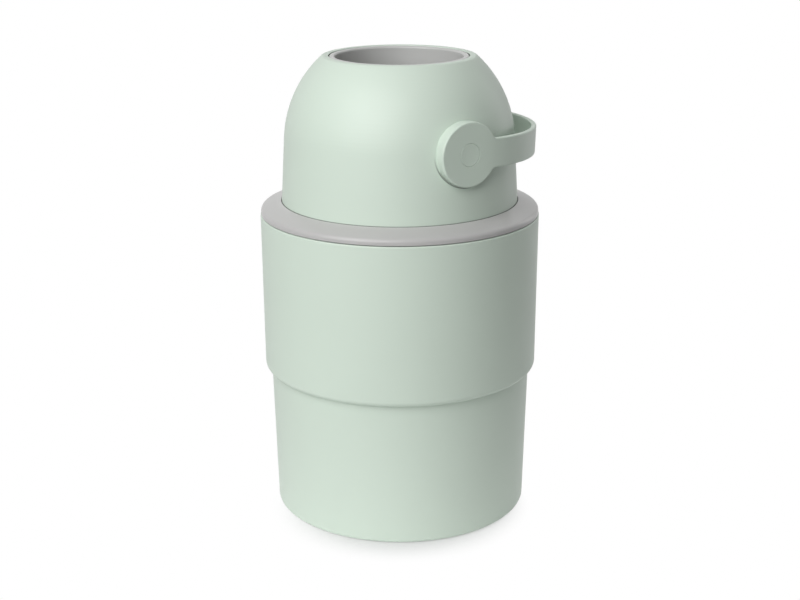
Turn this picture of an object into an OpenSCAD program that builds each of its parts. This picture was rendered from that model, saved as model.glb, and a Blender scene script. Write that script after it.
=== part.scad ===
// Flip-over nappy bin: a tapered bucket with a wider sleeve, and a lift-off head whose
// domed shell holds a ball. The handle turns the ball half a turn over the top. A tube
// goes through the ball, and a weighted piston slides in it: it is the floor of the
// chamber in use, and it drops with each turn and empties the chamber into the bag.
// Millimetres, +Z up, origin at the middle of the underside. The handle's pivot lies
// along Y, the front disc faces -Y and the handle rests towards +X.

/* [Bucket] */
// Radius of the bucket at its foot
bucket_r = 124.7; // [118:0.1:128]
// Draft of the bucket's wall in degrees
bucket_draft = 1.34; // [0.5:0.01:1.6]
// Rounding of the bucket's bottom edge
foot_round = 3; // [2:0.5:7]
// Thickness of the bucket's floor
floor_t = 3; // [2:0.25:5]
// Height of the hollow under the floor
floor_rise = 4; // [3:0.5:8]
// Width of the standing ring under the bucket
foot_ring_w = 24; // [22:0.5:32]
// Wall of the bucket, the sleeve and the shoulder ring
wall = 2.8; // [2:0.1:3.4]
// How far the bucket's neck goes up inside the sleeve
neck_h = 26; // [20:1:40]

/* [Base pads] */
// Number of anti-slip pads
pad_count = 4; // [3:1:8]
// Radius of a pad
pad_r = 8; // [5:0.5:9]
// Height of a pad
pad_h = 2.4; // [1.6:0.1:3.2]
// How far a pad stands out under the bucket
pad_proud = 0.6; // [0.4:0.1:1.2]

/* [Sleeve] */
// Height of the step where the sleeve begins
step_z = 142; // [100:1:170]
// How far the sleeve stands out over the bucket at the step
step_out = 6.1; // [5.5:0.1:9]
// Rounding of the sleeve's lower edge
step_round = 5.5; // [3:0.25:6]
// Draft of the sleeve's wall in degrees
sleeve_draft = 0.29; // [0:0.01:0.6]
// Height of the sleeve's top edge
sleeve_top_z = 295.8; // [260:0.2:330]
// Rounding of the sleeve's top edge
sleeve_round = 1.2; // [0.4:0.1:1.4]
// Thickness of the ledges inside the sleeve
ledge_t = 3; // [2:0.25:5]
// Width of the lower ledge, which sits on the bucket's neck
seat_ledge_w = 15; // [14:0.5:20]

/* [Bag collar] */
// How far the collar's seat lies below the sleeve's top edge
collar_drop = 24.5; // [20:0.5:40]
// Width of the ledge that carries the collar
collar_ledge_w = 8; // [6:0.5:12]
// Length of the collar's tube, which the bag is folded over
collar_tube_h = 22; // [10:1:40]
// Height of the gasket on the collar
gasket_h = 4; // [2.5:0.5:6]
// Width of the gasket
gasket_w = 5; // [3:0.5:7]

/* [Shoulder ring] */
// Open line between the sleeve and the shoulder ring
parting_gap = 0.8; // [0.5:0.1:1.5]
// Height of the shoulder ring above the parting line
shoulder_h = 12; // [11:0.1:14]
// How far the ring's edge lies inside the sleeve's outer face
shoulder_inset = 0.6; // [0.2:0.1:1.2]
// Slope of the ring's top in degrees
shoulder_slope = 19; // [14:0.5:20]
// Rounding of the ring's outer edge
shoulder_round = 4; // [2:0.25:4.5]
// Width of the inner ledge that carries the dome
dome_ledge_w = 10; // [9:0.5:12]

/* [Dome] */
// Radius of the dome at the top of the shoulder ring
dome_r = 113.95; // [110:0.05:116]
// Draft of the dome's lower wall in degrees
dome_draft = 3.42; // [2:0.01:4.5]
// Height of the dome's ball centre above the shoulder ring
dome_centre_h = 55; // [52:0.2:62]
// Wall of the dome
dome_wall = 3; // [2.2:0.1:3.2]
// Height of the dome's mouth above its ball centre
mouth_h = 83; // [80:0.2:85]
// Rounding of the mouth's outer edge
crest_round = 4; // [2:0.25:5]
// Gap between the dome's foot and the shoulder ring round it
dome_gap = 0.2; // [0.15:0.05:0.5]
// Width of the lip inside the dome's mouth that stands close round the ball
lip_w = 11; // [9:0.5:12]

/* [Ball and chamber] */
// Height of the pivot above the dome's ball centre
pivot_h = 7.2; // [6:0.2:9]
// Radius of the mouth
mouth_r = 60.8; // [56:0.2:62]
// Width of the grey rim round the mouth
rim_w = 5.2; // [5:0.1:5.8]
// Gap between the rim and the dome's mouth
rim_gap = 0.8; // [0.5:0.1:1.2]
// How far the rim lies below the dome's mouth
rim_drop = 0.3; // [0.1:0.1:1]
// Depth of a mouth ring
ring_depth = 18; // [12:0.5:24]
// Wall of the ball and of the chamber tube
ball_wall = 2.5; // [2:0.1:3]
// How far a mouth ring overhangs the tube's bore, as a stop for the piston
stop_w = 1.7; // [1.2:0.1:2]
// Running gap round the ball
ball_gap = 0.6; // [0.5:0.1:1]
// Gap between the rim and the throat's chute
chute_gap = 4; // [3:0.5:8]
// Length of the throat's chute
chute_h = 34; // [20:1:60]
// Width of the throat's cup round the chute
cup_w = 18; // [16:0.5:19]

/* [Piston] */
// Height of the piston
piston_h = 30; // [24:1:40]
// Running gap between the piston's seals and the tube
piston_gap = 0.3; // [0.3:0.05:0.6]
// Wall of the piston's two halves
piston_wall = 3; // [2.5:0.1:3.5]
// Radius of the steel weight
weight_r = 40; // [30:1:46]
// Thickness of the steel weight
weight_h = 12; // [6:0.5:16]
// Height of a piston seal
piston_seal_h = 4; // [3:0.5:5]

/* [Pivot] */
// Radius of the handle's hub, the journal that runs in the bush
hub_r = 13; // [11:0.25:14]
// Radial running clearance of the hub in its bush
hub_clearance = 0.06; // [0.03:0.01:0.1]
// Wall of a bush
bush_wall = 2.5; // [2:0.1:3.5]
// Radius of a bush's flange
bush_flange_r = 19; // [18.5:0.25:22]
// Thickness of a trunnion's flange
trunnion_t = 4; // [3.2:0.1:4.5]
// Side of the square key between a trunnion and the handle
key_w = 13; // [11:0.5:14]
// Length of the square key
key_l = 6; // [4:0.5:7]

/* [Handle] */
// Distance of a disc's face from the middle of the bin
face_y = 117.4; // [117.4:0.1:121]
// Radius of a handle disc
disc_r = 29.6; // [26:0.2:32]
// Thickness of a handle disc
disc_t = 9; // [8.4:0.1:9.2]
// Gap round a disc where it lies in the dome's pocket
pocket_gap = 0.5; // [0.4:0.1:1]
// Rounding of a disc's face edge
disc_round = 1.2; // [0.6:0.1:2]
// Height of the handle's strap
strap_h = 27; // [20:0.5:30]
// Thickness of the strap
strap_t = 4.8; // [4.4:0.1:5.2]
// Rounding of the strap's edges
strap_round = 1.6; // [0.8:0.1:2.1]
// Distance of the strap's bend centre from the pivot axis
bend_x = 16; // [12:0.25:17]
// How far the resting handle hangs below level in degrees
droop = 2.3; // [0:0.1:4]
// Radius of the fillets between a disc and the strap
neck_round = 7; // [4:0.5:10]
// Radius of the round cap over the handle's screw
cap_r = 10.5; // [9:0.25:11.5]
// Thickness of that cap
cap_t = 1.6; // [1.2:0.1:1.8]

/* [Screws] */
// Radius of a screw's shank
screw_r = 1.75; // [1.5:0.05:2.2]
// Radius of a screw's head
screw_head_r = 3.4; // [3:0.1:3.8]
// Height of a screw's head
screw_head_h = 2.2; // [1.6:0.1:2.6]
// Radius of a screw boss
boss_r = 4.5; // [4:0.25:5]
// Number of screws that hold the sleeve, and of those that hold the head together
ring_screws = 6; // [4:1:8]

/* [Hidden] */
$fn = 96;

// Clearances
fit_gap = 0.3;              // between pieces that part, and round pieces that lie in a seat
screw_gap = 0.05;           // round a screw's shank in its pilot hole
hole_gap = 0.3;             // round a screw's shank in a clearance hole
eps = 0.01;                 // overlap of cuts

// Colours
sage = [0.80, 0.86, 0.80];
warm_grey = [0.74, 0.74, 0.73];
inner_grey = [0.64, 0.65, 0.65];
seal_grey = [0.25, 0.26, 0.26];
steel = [0.72, 0.73, 0.75];
bush_white = [0.92, 0.92, 0.90];

// Body
bucket_slope = tan(bucket_draft);
sleeve_slope = tan(sleeve_draft);
function bucket_r_at(z) = bucket_r + bucket_slope * (z - pad_proud);
function sleeve_r_at(z) = bucket_r_at(step_z) + step_out + sleeve_slope * (z - step_z);
neck_z = step_z + neck_h;
floor_z = pad_proud + floor_rise + floor_t;
pad_ring_r = bucket_r - foot_round - (foot_ring_w - foot_round) / 2;
seat_r = sleeve_r_at(neck_z) - wall - seat_ledge_w;
sleeve_boss_r = bucket_r_at(neck_z) - wall - boss_r + 1;
collar_z = sleeve_top_z - collar_drop;
collar_seat_r = sleeve_r_at(collar_z) - wall;
collar_out_r = collar_seat_r - fit_gap;
collar_in_r = collar_seat_r - collar_ledge_w - fit_gap - wall;
gasket_z = collar_z + ledge_t;

// Head
ring_z = sleeve_top_z + parting_gap;
dome_z = ring_z + shoulder_h;
ring_r = sleeve_r_at(sleeve_top_z) - shoulder_inset;
skirt_r = sleeve_r_at(sleeve_top_z) - wall - fit_gap - sleeve_slope * collar_drop;
skirt_z = gasket_z + gasket_h + fit_gap;
foot_z = ring_z + ledge_t;                     // top of the ledge that the dome stands on
ledge_in_r = dome_r - dome_ledge_w;
dome_sphere_z = dome_z + dome_centre_h;
dome_sphere_r = (dome_r - tan(dome_draft) * dome_centre_h) * cos(dome_draft);
mouth_z = dome_sphere_z + mouth_h;
pivot_z = dome_sphere_z + pivot_h;

// Ball
rim_r = mouth_r + rim_w;
rim_z = mouth_z - rim_drop;                    // top of the upper mouth ring
rim_up = rim_z - pivot_z;
rim_edge = 1.2;                                // rounding of the rim
ball_r = norm([rim_r - rim_edge, rim_up - rim_edge]) + rim_edge;
bore_r = mouth_r + stop_w;                     // bore of the chamber tube
tube_half = rim_up - ring_depth;
tube_r = bore_r + ball_wall;
mouth_edge_r = rim_r + rim_gap;                // edge of the dome's mouth
clear_r = ball_r + ball_gap;                   // what goes round the ball stays outside this

// Pivot, as distances from the middle of the bin along Y
disc_back = face_y - disc_t;
boss_face = disc_back - fit_gap;               // face of the dome's boss under a disc
pad_y = ball_r - 3.5;                          // flat on the ball that carries a trunnion
trunnion_y = pad_y + trunnion_t;               // outer face of a trunnion's flange
bush_y = trunnion_y + fit_gap;                 // inner face of a bush
bush_flange_t = 2;
bush_seat = bush_y + bush_flange_t;            // face of the boss inside the dome
key_end = trunnion_y + key_l;
hub_end = trunnion_y + 0.5;                    // inner end of the handle's hub
flat_r = sqrt(ball_r * ball_r - pad_y * pad_y);

// Piston, as heights above the pivot at rest
piston_z = -tube_half + fit_gap;
piston_r = bore_r - piston_gap;

// Points along an arc
function arc(c, r, from, to, n = 8) =
    [for (i = [0:n]) c + r * [cos(from + (to - from) * i / n), sin(from + (to - from) * i / n)]];

// Copies round the Z axis
module around(n, r, start = 0) {
    for (i = [0:n - 1]) rotate(start + 360 * i / n) translate([r, 0, 0]) children();
}

// Stands a shape that is drawn along +Z on the pivot axis, towards the front or the back
module on_pivot(side) {
    translate([0, 0, pivot_z]) rotate([side == "front" ? 90 : -90, 0, 0]) children();
}

// A screw with its head's underside at z = 0 and its shank down to -length
module screw(length) {
    translate([0, 0, -length]) cylinder(h = length + eps, r = screw_r);
    difference() {
        cylinder(h = screw_head_h, r = screw_head_r);
        translate([0, 0, screw_head_h / 2]) cylinder(h = screw_head_h, r = screw_head_r / 2, $fn = 6);
    }
}

// The rounded outline of a revolved pad: used for feet, caps and weights
module puck(r, h, edge) {
    rotate_extrude() polygon(concat(
        [[0, 0]],
        arc([r - edge, edge], edge, -90, 0, 3),
        arc([r - edge, h - edge], edge, 0, 90, 3),
        [[0, h]]));
}

// ---------------------------------------------------------------- body
boss_h = 16;
lip_in_r = bucket_r_at(step_z + ledge_t) + fit_gap;
step_fillet = min(step_round, step_out - fit_gap - 0.2);

module lower_bucket() {
    corner = 4;
    neck_r = bucket_r_at(neck_z);
    color(sage) difference() {
        union() {
            rotate_extrude() polygon(concat(
                [[0, pad_proud + floor_rise],
                 [bucket_r - foot_ring_w - floor_rise, pad_proud + floor_rise],
                 [bucket_r - foot_ring_w, pad_proud]],
                arc([bucket_r - foot_round, pad_proud + foot_round], foot_round, -90, 0),
                [[neck_r, neck_z], [neck_r - wall, neck_z]],
                arc([bucket_r_at(floor_z) - wall - corner, floor_z + corner], corner, 0, -90),
                [[0, floor_z]]));
            around(ring_screws, sleeve_boss_r)
                translate([0, 0, neck_z - boss_h]) cylinder(h = boss_h, r = boss_r);
        }
        around(ring_screws, sleeve_boss_r)
            translate([0, 0, neck_z - boss_h + 2]) cylinder(h = boss_h, r = screw_r + screw_gap);
        around(pad_count, pad_ring_r, 45)
            cylinder(h = pad_h, r = pad_r + fit_gap);
    }
}

module base_pads() {
    color(seal_grey) around(pad_count, pad_ring_r, 45) puck(pad_r, pad_h, 0.5);
}

module upper_sleeve() {
    low_r = sleeve_r_at(step_z);
    top_r = sleeve_r_at(sleeve_top_z);
    gusset = collar_ledge_w * 0.75;
    color(sage) difference() {
        rotate_extrude() polygon(concat(
            arc([low_r - step_fillet, step_z + step_fillet], step_fillet, -90, 0),
            arc([top_r - sleeve_round, sleeve_top_z - sleeve_round], sleeve_round, 0, 90, 4),
            [[top_r - wall, sleeve_top_z],
             [collar_seat_r, collar_z],
             [collar_seat_r - collar_ledge_w, collar_z],
             [collar_seat_r - collar_ledge_w, collar_z - ledge_t],
             [sleeve_r_at(collar_z - ledge_t) - wall, collar_z - ledge_t - gusset],
             [sleeve_r_at(neck_z) - wall, neck_z + ledge_t],
             [seat_r, neck_z + ledge_t],
             [seat_r, neck_z],
             [sleeve_r_at(neck_z) - wall, neck_z],
             [low_r - wall, step_z + ledge_t],
             [lip_in_r, step_z + ledge_t],
             [lip_in_r, step_z]]));
        around(ring_screws, sleeve_boss_r)
            translate([0, 0, neck_z - eps]) cylinder(h = ledge_t + 2 * eps, r = screw_r + hole_gap);
    }
}

module sleeve_screws() {
    color(steel) around(ring_screws, sleeve_boss_r)
        translate([0, 0, neck_z + ledge_t]) screw(ledge_t + boss_h - 6);
}

module bag_collar() {
    color(warm_grey) rotate_extrude() polygon(concat(
        [[collar_in_r, collar_z - collar_tube_h], [collar_in_r + wall, collar_z - collar_tube_h],
         [collar_in_r + wall, collar_z], [collar_out_r, collar_z], [collar_out_r, gasket_z]],
        arc([collar_in_r + 2, gasket_z - 2], 2, 90, 180, 4)));
}

module rim_gasket() {
    bead = gasket_w / 2;
    color(seal_grey) rotate_extrude() polygon(concat(
        [[collar_out_r - gasket_w, gasket_z], [collar_out_r, gasket_z]],
        arc([collar_out_r - bead, gasket_z + gasket_h - bead], bead, 0, 180, 8)));
}

// ---------------------------------------------------------------- head
function dome_r_at(z, inset = 0) =
    dome_r - tan(dome_draft) * (z - dome_z) - inset / cos(dome_draft);
head_boss_r = dome_r_at(foot_z, dome_wall) - boss_r + 1;
head_boss_h = 16;
throat_z = ring_z - ledge_t;

module shoulder_ring() {
    wall_r = dome_r_at(foot_z) + dome_gap;
    skirt_in = skirt_r - wall;
    function top_z(r) = dome_z - (r - wall_r) * tan(shoulder_slope);
    function under_z(r) = top_z(r) - wall / cos(shoulder_slope);
    bend_r = ring_r - shoulder_round;
    bend_z = top_z(bend_r) - shoulder_round / cos(shoulder_slope);
    color(warm_grey) difference() {
        rotate_extrude() polygon(concat(
            [[ring_r, ring_z]],
            arc([bend_r, bend_z], shoulder_round, 0, 90 - shoulder_slope, 8),
            [[wall_r, dome_z], [wall_r, foot_z], [ledge_in_r, foot_z], [ledge_in_r, ring_z],
             [wall_r + wall, ring_z], [wall_r + wall, under_z(wall_r + wall)],
             [skirt_in, under_z(skirt_in)],
             [skirt_in, skirt_z], [skirt_r, skirt_z], [skirt_r, ring_z]]));
        around(ring_screws, head_boss_r)
            translate([0, 0, ring_z - eps]) cylinder(h = ledge_t + 2 * eps, r = screw_r + hole_gap);
    }
}

// The dome's outer or inner outline, from its foot up to where its top begins
function dome_side(inset, top_angle) = concat(
    [[dome_r_at(foot_z, inset), foot_z]],
    arc([0, dome_sphere_z], dome_sphere_r - inset, dome_draft, top_angle, 20));

module dome_shell() {
    crest_z = mouth_z - crest_round;
    crest_r = sqrt(pow(dome_sphere_r - crest_round, 2) - pow(crest_z - dome_sphere_z, 2));
    crest_angle = atan2(crest_z - dome_sphere_z, crest_r);
    edge = 0.4;
    lip_r = mouth_edge_r + lip_w;
    inner_r = dome_sphere_r - dome_wall;
    bore = hub_r + hub_clearance + bush_wall + screw_gap;
    module outside() {
        rotate_extrude() polygon(concat(
            [[0, foot_z]], dome_side(0, crest_angle),
            arc([crest_r, crest_z], crest_round, crest_angle, 90, 5),
            [[0, mouth_z]]));
    }
    color(sage) difference() {
        union() {
            difference() {
                outside();
                rotate_extrude() polygon(concat(
                    [[0, foot_z - 1], [dome_r_at(foot_z, dome_wall), foot_z - 1]],
                    dome_side(dome_wall, acos(lip_r / inner_r)),
                    arc([0, pivot_z], clear_r, acos(lip_r / clear_r), acos(mouth_edge_r / clear_r), 6),
                    [[mouth_edge_r, mouth_z - edge]],
                    arc([mouth_edge_r + edge, mouth_z - edge], edge, 180, 90, 2),
                    [[mouth_edge_r + edge, mouth_z + 1], [0, mouth_z + 1]]));
            }
            for (side = ["front", "back"]) on_pivot(side) {
                translate([0, 0, bush_seat]) cylinder(h = boss_face - bush_seat, r = bush_flange_r + 1.5);
                translate([0, 0, boss_face - dome_wall]) cylinder(h = dome_wall, r = disc_r - fit_gap);
            }
            intersection() {
                outside();
                for (side = ["front", "back"]) on_pivot(side) translate([0, 0, boss_face - dome_wall])
                    cylinder(h = disc_t, r = disc_r + pocket_gap + dome_wall);
            }
            around(ring_screws, head_boss_r, 0)
                translate([0, 0, foot_z]) cylinder(h = head_boss_h, r = boss_r);
        }
        for (side = ["front", "back"]) on_pivot(side) {
            translate([0, 0, bush_seat - 1]) cylinder(h = face_y, r = bore);
            translate([0, 0, boss_face]) cylinder(h = disc_t, r = disc_r + pocket_gap);
        }
        around(ring_screws, head_boss_r)
            translate([0, 0, foot_z - eps]) cylinder(h = head_boss_h - 2, r = screw_r + screw_gap);
    }
}

chute_r = rim_r + chute_gap;
cup_r = chute_r + cup_w;

module throat() {
    outer_r = clear_r + ball_wall;
    foot_r = chute_r + ball_wall + 1.5;
    flange_r = dome_r - 1;
    color(warm_grey) difference() {
        rotate_extrude() polygon(concat(
            [[chute_r, ring_z - chute_h], [chute_r + ball_wall, ring_z - chute_h],
             [chute_r + ball_wall, throat_z], [flange_r, throat_z], [flange_r, ring_z],
             [foot_r, ring_z]],
            arc([0, pivot_z], outer_r, -acos(foot_r / outer_r), -acos(cup_r / clear_r), 8),
            arc([0, pivot_z], clear_r, -acos(cup_r / clear_r), -acos(chute_r / clear_r), 8)));
        around(ring_screws, head_boss_r)
            translate([0, 0, throat_z - eps]) cylinder(h = ledge_t + 2 * eps, r = screw_r + hole_gap);
    }
}

module head_screws() {
    color(steel) around(ring_screws, head_boss_r)
        translate([0, 0, throat_z]) mirror([0, 0, 1]) screw(2 * ledge_t + head_boss_h - 6);
}

module upper_wiper_seal() {
    seat_sphere = dome_sphere_r - dome_wall - fit_gap / 2;
    seal_t = 1.6;
    seat_gap = 0.6;                            // from the dome's lip to the seal
    tip_gap = 3;                               // from the dome's lip to where the seal ends at the ball
    top = acos((mouth_edge_r + lip_w + seat_gap) / (seat_sphere - seal_t));
    span = 5;
    tip = acos((mouth_edge_r + lip_w + tip_gap) / ball_r);
    lip = [0, pivot_z] + (ball_r + fit_gap) * [cos(tip), sin(tip)];
    color(seal_grey) rotate_extrude() polygon(concat(
        arc([0, dome_sphere_z], seat_sphere, top - span, top, 4),
        arc([0, dome_sphere_z], seat_sphere - seal_t, top, top - span / 2, 2),
        [lip],
        arc([0, dome_sphere_z], seat_sphere - seal_t, top - span * 0.7, top - span, 2)));
}

module lower_wiper_seal() {
    low = -acos(cup_r / clear_r);
    span = 3;
    color(seal_grey) rotate_extrude() polygon(concat(
        arc([0, pivot_z], ball_r + fit_gap, low + span * 0.4, low + span * 0.8, 2),
        arc([0, pivot_z], clear_r + ball_wall, low + span, low, 3),
        [[0, pivot_z] + clear_r * [cos(low), sin(low)]]));
}

module bush() {
    bore = hub_r + hub_clearance;
    rotate_extrude() polygon([
        [bore, bush_y], [bush_flange_r, bush_y], [bush_flange_r, bush_seat],
        [bore + bush_wall, bush_seat], [bore + bush_wall, boss_face], [bore, boss_face]]);
}

module front_bush() {
    color(bush_white) on_pivot("front") bush();
}

module back_bush() {
    color(bush_white) on_pivot("back") bush();
}

// ---------------------------------------------------------------- ball, about the pivot
rim_t = 3;
joint_flange_w = 8;
joint_flange_t = 3;
ball_screw_hold = 8;                           // length of a ball screw in the upper half
ball_bolt_r = ball_r - ball_wall - boss_r + 0.5;
trunnion_r = 20;
trunnion_bolt_r = 15.5;
pad_depth = 7;

module chamber_tube() {
    color(inner_grey) translate([0, 0, pivot_z]) rotate_extrude() polygon([
        [bore_r, -tube_half], [tube_r, -tube_half], [tube_r, tube_half], [bore_r, tube_half]]);
}

module mouth_ring() {
    inner_edge = 2;
    rotate_extrude() polygon(concat(
        [[mouth_r, tube_half], [tube_r, tube_half], [tube_r, rim_up - rim_t],
         [rim_r, rim_up - rim_t]],
        arc([rim_r - rim_edge, rim_up - rim_edge], rim_edge, 0, 90, 4),
        arc([mouth_r + inner_edge, rim_up - inner_edge], inner_edge, 90, 180, 5)));
}

module upper_mouth_ring() {
    color(inner_grey) translate([0, 0, pivot_z]) mouth_ring();
}

module lower_mouth_ring() {
    color(inner_grey) translate([0, 0, pivot_z]) mirror([0, 0, 1]) mouth_ring();
}

// One half of the ball, upwards from its joint at z = 0
module ball_half() {
    seat = tube_r + fit_gap;
    inner_r = ball_r - ball_wall;
    difference() {
        union() {
            intersection() {
                rotate_extrude() polygon(concat(
                    [[inner_r - joint_flange_w, 0]],
                    arc([0, 0], ball_r, 0, acos((rim_r + fit_gap) / ball_r), 14),
                    [[rim_r + fit_gap, rim_up - rim_t], [seat, rim_up - rim_t],
                     [seat, tube_half - ring_depth], [seat + ball_wall, tube_half - ring_depth]],
                    arc([0, 0], inner_r, acos((seat + ball_wall) / inner_r),
                        asin(joint_flange_t / inner_r), 14),
                    [[inner_r - joint_flange_w, joint_flange_t]]));
                translate([-ball_r, -pad_y, 0]) cube([2 * ball_r, 2 * pad_y, ball_r]);
            }
            for (turn = [90, -90]) intersection() {
                rotate([turn, 0, 0]) translate([0, 0, pad_y - pad_depth]) cylinder(h = pad_depth, r = flat_r);
                translate([-ball_r, -ball_r, 0]) cube([2 * ball_r, 2 * ball_r, ball_r]);
            }
        }
        for (turn = [90, -90], corner = [45:90:315])
            rotate([turn, 0, 0]) rotate(corner)
                translate([trunnion_bolt_r, 0, pad_y - pad_depth + 1])
                    cylinder(h = pad_depth, r = screw_r + screw_gap);
    }
}

module upper_ball_half() {
    h = 12;
    color(warm_grey) translate([0, 0, pivot_z]) difference() {
        union() {
            ball_half();
            around(4, ball_bolt_r, 45) cylinder(h = h, r = boss_r);
        }
        around(4, ball_bolt_r, 45) translate([0, 0, -eps]) cylinder(h = h - 2, r = screw_r + screw_gap);
    }
}

module lower_ball_half() {
    color(warm_grey) translate([0, 0, pivot_z]) mirror([0, 0, 1]) difference() {
        ball_half();
        around(4, ball_bolt_r, 45)
            translate([0, 0, -eps]) cylinder(h = joint_flange_t + 2 * eps, r = screw_r + hole_gap);
    }
}

module ball_screws() {
    color(steel) translate([0, 0, pivot_z]) around(4, ball_bolt_r, 45)
        translate([0, 0, -joint_flange_t]) mirror([0, 0, 1]) screw(joint_flange_t + ball_screw_hold);
}

module trunnion() {
    difference() {
        union() {
            translate([0, 0, pad_y]) cylinder(h = trunnion_t, r = trunnion_r);
            translate([-key_w / 2, -key_w / 2, trunnion_y - eps]) cube([key_w, key_w, key_l + eps]);
        }
        for (corner = [45:90:315]) rotate(corner) translate([trunnion_bolt_r, 0, pad_y]) {
            translate([0, 0, -eps]) cylinder(h = trunnion_t + 1, r = screw_r + hole_gap);
            translate([0, 0, trunnion_t - screw_head_h - 0.2])
                cylinder(h = trunnion_t, r = screw_head_r + fit_gap);
        }
        translate([0, 0, pad_y + 1]) cylinder(h = trunnion_t + key_l, r = screw_r + screw_gap);
    }
}

module front_trunnion() {
    color(bush_white) on_pivot("front") trunnion();
}

module back_trunnion() {
    color(bush_white) on_pivot("back") trunnion();
}

module trunnion_screws() {
    color(steel) for (side = ["front", "back"]) on_pivot(side)
        for (corner = [45:90:315]) rotate(corner)
            translate([trunnion_bolt_r, 0, trunnion_y - screw_head_h - 0.2]) screw(trunnion_t + 2);
}

// ---------------------------------------------------------------- handle, about the pivot
cap_seat = face_y - cap_t - 0.1;
head_seat = cap_seat - screw_head_h - 0.2;

// The strap's rounded section, with its outer face as far from the axis as the discs' faces
module strap_section() {
    up = strap_h / 2 - strap_round;
    out = face_y - strap_round;
    in = face_y - strap_t + strap_round;
    polygon(concat(
        arc([out, -up], strap_round, -90, 0, 4), arc([out, up], strap_round, 0, 90, 4),
        arc([in, up], strap_round, 90, 180, 4), arc([in, -up], strap_round, 180, 270, 4)));
}

// The strap: one bend from disc to disc
module strap() {
    inside_disc = asin((0.7 * disc_r - bend_x) / face_y);
    translate([bend_x, 0, 0]) rotate(inside_disc - 90)
        rotate_extrude(angle = 180 - 2 * inside_disc) strap_section();
}

// The filleted neck between a disc and the strap, drawn from the front
module neck() {
    up = strap_h / 2 + neck_round;
    out = sqrt(pow(disc_r + neck_round, 2) - up * up);
    rise = arc([out, up], neck_round, 180 + atan2(up, out), 270, 6);
    strap_y = sqrt(face_y * face_y - pow(out - bend_x, 2));
    strap_back = face_y - strap_t;
    translate([0, 0, strap_back]) linear_extrude(height = strap_y - strap_back)
        polygon(concat(rise, [for (i = [6:-1:0]) [rise[i].x, -rise[i].y]]));
}

module handle_disc() {
    difference() {
        union() {
            rotate_extrude() polygon(concat(
                [[0, disc_back], [disc_r, disc_back]],
                arc([disc_r - disc_round, face_y - disc_round], disc_round, 0, 90, 5),
                [[0, face_y]]));
            translate([0, 0, hub_end]) cylinder(h = disc_back - hub_end + eps, r = hub_r);
        }
        translate([0, 0, cap_seat]) cylinder(h = cap_t + 1, r = cap_r + 0.15);
        translate([0, 0, head_seat]) cylinder(h = cap_seat, r = screw_head_r + fit_gap);
        cylinder(h = face_y, r = screw_r + hole_gap);
        translate([-key_w / 2 - 0.1, -key_w / 2 - 0.1, hub_end - 1])
            cube([key_w + 0.2, key_w + 0.2, key_end + 1.2 - hub_end]);
    }
}

module handle_bail() {
    color(sage) {
        on_pivot("front") handle_disc();
        on_pivot("back") handle_disc();
        translate([0, 0, pivot_z]) rotate([0, droop, 0]) {
            strap();
            rotate([90, 0, 0]) neck();
            mirror([0, 1, 0]) rotate([90, 0, 0]) neck();
        }
    }
}

module handle_screws() {
    color(steel) for (side = ["front", "back"]) on_pivot(side)
        translate([0, 0, head_seat]) screw(head_seat - pad_y - 1.5);
}

module front_cap() {
    color(sage) on_pivot("front") translate([0, 0, cap_seat]) puck(cap_r, cap_t, 0.3);
}

module back_cap() {
    color(sage) on_pivot("back") translate([0, 0, cap_seat]) puck(cap_r, cap_t, 0.3);
}

// ---------------------------------------------------------------- piston, about its middle
piston_half = piston_h / 2;
shell_r = bore_r - 2 * piston_gap;
skirt_w = piston_wall + 2.5;
groove = 2.5;
piston_bolt_r = (weight_r + shell_r - skirt_w + 2.3) / 2;
piston_mid = pivot_z + piston_z + piston_half;

// One half of the piston's shell, upwards from its joint at z = 0
module piston_shell() {
    edge = 1.5;
    seal_half = (piston_seal_h + 0.2) / 2;
    seal_z = piston_half / 2;
    plate = piston_half - piston_wall;
    rotate_extrude() polygon(concat(
        [[0, plate], [shell_r - skirt_w, plate], [shell_r - skirt_w, 0], [shell_r, 0],
         [shell_r, seal_z - seal_half], [shell_r - groove, seal_z - seal_half],
         [shell_r - groove, seal_z + seal_half], [shell_r, seal_z + seal_half]],
        arc([shell_r - edge, piston_half - edge], edge, 0, 90, 4),
        [[0, piston_half]]));
    rotate_extrude() polygon([
        [weight_r + fit_gap, 0], [weight_r + 2.3, 0], [weight_r + 2.3, plate + eps],
        [weight_r + fit_gap, plate + eps]]);
    translate([0, 0, weight_h / 2]) cylinder(h = plate - weight_h / 2 + eps, r = weight_r / 2);
    around(4, piston_bolt_r) cylinder(h = plate + eps, r = boss_r);
}

module piston_cup() {
    color(warm_grey) translate([0, 0, piston_mid]) difference() {
        piston_shell();
        around(4, piston_bolt_r) translate([0, 0, -eps])
            cylinder(h = piston_half - piston_wall, r = screw_r + screw_gap);
    }
}

module piston_cover() {
    color(warm_grey) translate([0, 0, piston_mid]) mirror([0, 0, 1]) difference() {
        piston_shell();
        around(4, piston_bolt_r) {
            translate([0, 0, -eps]) cylinder(h = piston_h, r = screw_r + hole_gap);
            translate([0, 0, piston_half - screw_head_h - 0.3])
                cylinder(h = piston_h, r = screw_head_r + fit_gap);
        }
    }
}

module piston_weight() {
    color(steel) translate([0, 0, piston_mid - weight_h / 2]) puck(weight_r, weight_h, 1);
}

module piston_seals() {
    inner = shell_r - groove + 0.1;
    color(seal_grey) for (level = [-piston_half / 2, piston_half / 2])
        translate([0, 0, piston_mid + level - piston_seal_h / 2])
            rotate_extrude() polygon([
                [inner, 0], [piston_r - 0.4, 0], [piston_r, 0.8], [piston_r, piston_seal_h - 0.8],
                [piston_r - 0.4, piston_seal_h], [inner, piston_seal_h]]);
}

module piston_screws() {
    seat = piston_half - screw_head_h - 0.3;
    color(steel) around(4, piston_bolt_r)
        translate([0, 0, piston_mid - seat]) mirror([0, 0, 1]) screw(seat + 8);
}

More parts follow.
